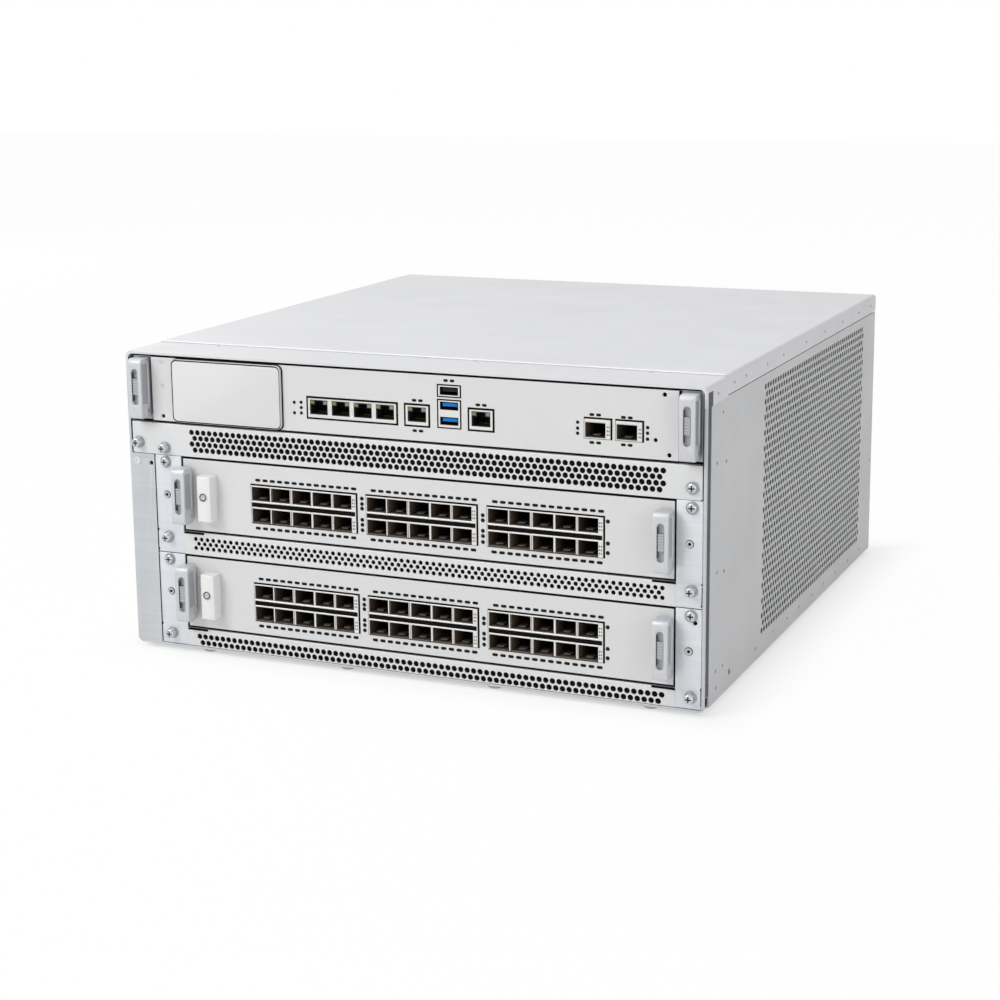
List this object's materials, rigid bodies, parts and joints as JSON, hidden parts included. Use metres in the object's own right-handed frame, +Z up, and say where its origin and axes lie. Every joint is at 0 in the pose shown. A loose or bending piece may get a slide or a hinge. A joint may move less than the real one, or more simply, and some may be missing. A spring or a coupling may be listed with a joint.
{
  "type": "aggregation router",
  "caption": "Rack-mount aggregation router chassis with a control module, line cards with pull levers, perforated intake strips and side walls, rear fans and power supplies.",
  "frame": {"origin": "centre of the footprint on the floor", "axes": "+Z up, +Y from the front to the rear, +X to the right as seen from the front"},
  "size_m": [0.442, 0.499, 0.2245],
  "materials": {
    "wall_grey": "satin",
    "cover_grey": "satin",
    "bezel_zinc": "satin",
    "strip_grey": "satin",
    "panel_grey": "satin",
    "cover_plate": "satin",
    "rail_plastic": "matte",
    "board_green": "satin",
    "cage_nickel": "satin",
    "tongue_blue": "satin",
    "screw_zinc": "polished",
    "block_white": "satin",
    "foot_rubber": "matte",
    "tray_steel": "satin",
    "rotor_black": "matte",
    "supply_steel": "satin",
    "tab_plastic": "satin",
    "lever_cast": "satin",
    "latch_grey": "satin"
  },
  "bodies": {
    "chassis": {"base_pan": "wall_grey", "cage_jambs": "bezel_zinc", "card_cage": "wall_grey", "card_guides": "rail_plastic", "cover_screws": "screw_zinc", "feet": "foot_rubber", "front_bezel": "bezel_zinc", "front_hood": "cover_grey", "front_screws": "screw_zinc", "intake_ears": "bezel_zinc", "left_side_wall": "wall_grey", "lower_intake": "strip_grey", "middle_intake": "strip_grey", "midplane": "board_green", "rear_panel": "wall_grey", "right_side_wall": "wall_grey", "rivets": "screw_zinc", "top_cover": "cover_grey", "upper_intake": "strip_grey"},
    "supervisor": {"blank_cover": "cover_plate", "rj45_shields": "cage_nickel", "supervisor_board": "board_green", "supervisor_cages": "cage_nickel", "supervisor_panel": "panel_grey", "supervisor_pivots": "lever_cast", "usb_shells": "cage_nickel", "usb_tongues": "tongue_blue"},
    "card_1": {"card_1_block_screw": "screw_zinc", "card_1_board": "board_green", "card_1_cages": "cage_nickel", "card_1_panel": "panel_grey", "card_1_pivots": "lever_cast", "card_1_screw_block": "block_white"},
    "card_1_latch_left": {"card_1_latch_left": "latch_grey"},
    "card_1_latch_right": {"card_1_latch_right": "latch_grey"},
    "card_1_lever_left": {"card_1_lever_left": "lever_cast"},
    "card_1_lever_right": {"card_1_lever_right": "lever_cast"},
    "card_2": {"card_2_block_screw": "screw_zinc", "card_2_board": "board_green", "card_2_cages": "cage_nickel", "card_2_panel": "panel_grey", "card_2_pivots": "lever_cast", "card_2_screw_block": "block_white"},
    "card_2_latch_left": {"card_2_latch_left": "latch_grey"},
    "card_2_latch_right": {"card_2_latch_right": "latch_grey"},
    "card_2_lever_left": {"card_2_lever_left": "lever_cast"},
    "card_2_lever_right": {"card_2_lever_right": "lever_cast"},
    "fan_rotor_1": {"fan_rotor_1": "rotor_black"},
    "fan_rotor_2": {"fan_rotor_2": "rotor_black"},
    "fan_rotor_3": {"fan_rotor_3": "rotor_black"},
    "fan_tray": {"fan_tray": "tray_steel"},
    "power_supply_1": {"power_supply_1": "supply_steel"},
    "power_supply_2": {"power_supply_2": "supply_steel"},
    "release_tab_1": {"release_tab_1": "tab_plastic"},
    "release_tab_2": {"release_tab_2": "tab_plastic"},
    "supervisor_latch_left": {"supervisor_latch_left": "latch_grey"},
    "supervisor_latch_right": {"supervisor_latch_right": "latch_grey"},
    "supervisor_lever_left": {"supervisor_lever_left": "lever_cast"},
    "supervisor_lever_right": {"supervisor_lever_right": "lever_cast"}
  },
  "joints": [
    {"name": "supervisor_slide", "type": "slide", "parent": "chassis", "child": "supervisor", "axis": [0, -1, 0], "range_m": [0, 0.24]},
    {"name": "supervisor_lever_left_hinge", "type": "hinge", "parent": "supervisor", "child": "supervisor_lever_left", "pos_m": [-0.2078, -0.2387, 0.1805], "axis": [1, 0, 0], "range_deg": [0, 65]},
    {"name": "supervisor_latch_left_slide", "type": "slide", "parent": "supervisor_lever_left", "child": "supervisor_latch_left", "axis": [0, 0, -1], "range_m": [0, 0.004], "stiffness_N_per_m": 200},
    {"name": "supervisor_lever_right_hinge", "type": "hinge", "parent": "supervisor", "child": "supervisor_lever_right", "pos_m": [0.2104, -0.2387, 0.1805], "axis": [1, 0, 0], "range_deg": [0, 65]},
    {"name": "supervisor_latch_right_slide", "type": "slide", "parent": "supervisor_lever_right", "child": "supervisor_latch_right", "axis": [0, 0, -1], "range_m": [0, 0.004], "stiffness_N_per_m": 200},
    {"name": "card_1_slide", "type": "slide", "parent": "chassis", "child": "card_1", "axis": [0, -1, 0], "range_m": [0, 0.24]},
    {"name": "card_1_lever_left_hinge", "type": "hinge", "parent": "card_1", "child": "card_1_lever_left", "pos_m": [-0.1734, -0.2417, 0.1052], "axis": [1, 0, 0], "range_deg": [0, 65]},
    {"name": "card_1_latch_left_slide", "type": "slide", "parent": "card_1_lever_left", "child": "card_1_latch_left", "axis": [0, 0, -1], "range_m": [0, 0.004], "stiffness_N_per_m": 200},
    {"name": "card_1_lever_right_hinge", "type": "hinge", "parent": "card_1", "child": "card_1_lever_right", "pos_m": [0.194, -0.2417, 0.1052], "axis": [1, 0, 0], "range_deg": [0, 65]},
    {"name": "card_1_latch_right_slide", "type": "slide", "parent": "card_1_lever_right", "child": "card_1_latch_right", "axis": [0, 0, -1], "range_m": [0, 0.004], "stiffness_N_per_m": 200},
    {"name": "card_2_slide", "type": "slide", "parent": "chassis", "child": "card_2", "axis": [0, -1, 0], "range_m": [0, 0.24]},
    {"name": "card_2_lever_left_hinge", "type": "hinge", "parent": "card_2", "child": "card_2_lever_left", "pos_m": [-0.1734, -0.2417, 0.0319], "axis": [1, 0, 0], "range_deg": [0, 65]},
    {"name": "card_2_latch_left_slide", "type": "slide", "parent": "card_2_lever_left", "child": "card_2_latch_left", "axis": [0, 0, -1], "range_m": [0, 0.004], "stiffness_N_per_m": 200},
    {"name": "card_2_lever_right_hinge", "type": "hinge", "parent": "card_2", "child": "card_2_lever_right", "pos_m": [0.194, -0.2417, 0.0319], "axis": [1, 0, 0], "range_deg": [0, 65]},
    {"name": "card_2_latch_right_slide", "type": "slide", "parent": "card_2_lever_right", "child": "card_2_latch_right", "axis": [0, 0, -1], "range_m": [0, 0.004], "stiffness_N_per_m": 200},
    {"name": "fan_tray_slide", "type": "slide", "parent": "chassis", "child": "fan_tray", "axis": [0, 1, 0], "range_m": [0, 0.12]},
    {"name": "fan_spin_1", "type": "hinge", "parent": "fan_tray", "child": "fan_rotor_1", "pos_m": [-0.124, 0.1995, 0.1227], "axis": [0, 1, 0], "continuous": true},
    {"name": "fan_spin_2", "type": "hinge", "parent": "fan_tray", "child": "fan_rotor_2", "pos_m": [0, 0.1995, 0.1227], "axis": [0, 1, 0], "continuous": true},
    {"name": "fan_spin_3", "type": "hinge", "parent": "fan_tray", "child": "fan_rotor_3", "pos_m": [0.124, 0.1995, 0.1227], "axis": [0, 1, 0], "continuous": true},
    {"name": "supply_1_slide", "type": "slide", "parent": "chassis", "child": "power_supply_1", "axis": [0, 1, 0], "range_m": [0, 0.13]},
    {"name": "release_tab_1_slide", "type": "slide", "parent": "power_supply_1", "child": "release_tab_1", "axis": [-1, 0, 0], "range_m": [0, 0.003], "stiffness_N_per_m": 300},
    {"name": "supply_2_slide", "type": "slide", "parent": "chassis", "child": "power_supply_2", "axis": [0, 1, 0], "range_m": [0, 0.13]},
    {"name": "release_tab_2_slide", "type": "slide", "parent": "power_supply_2", "child": "release_tab_2", "axis": [-1, 0, 0], "range_m": [0, 0.003], "stiffness_N_per_m": 300}
  ]
}
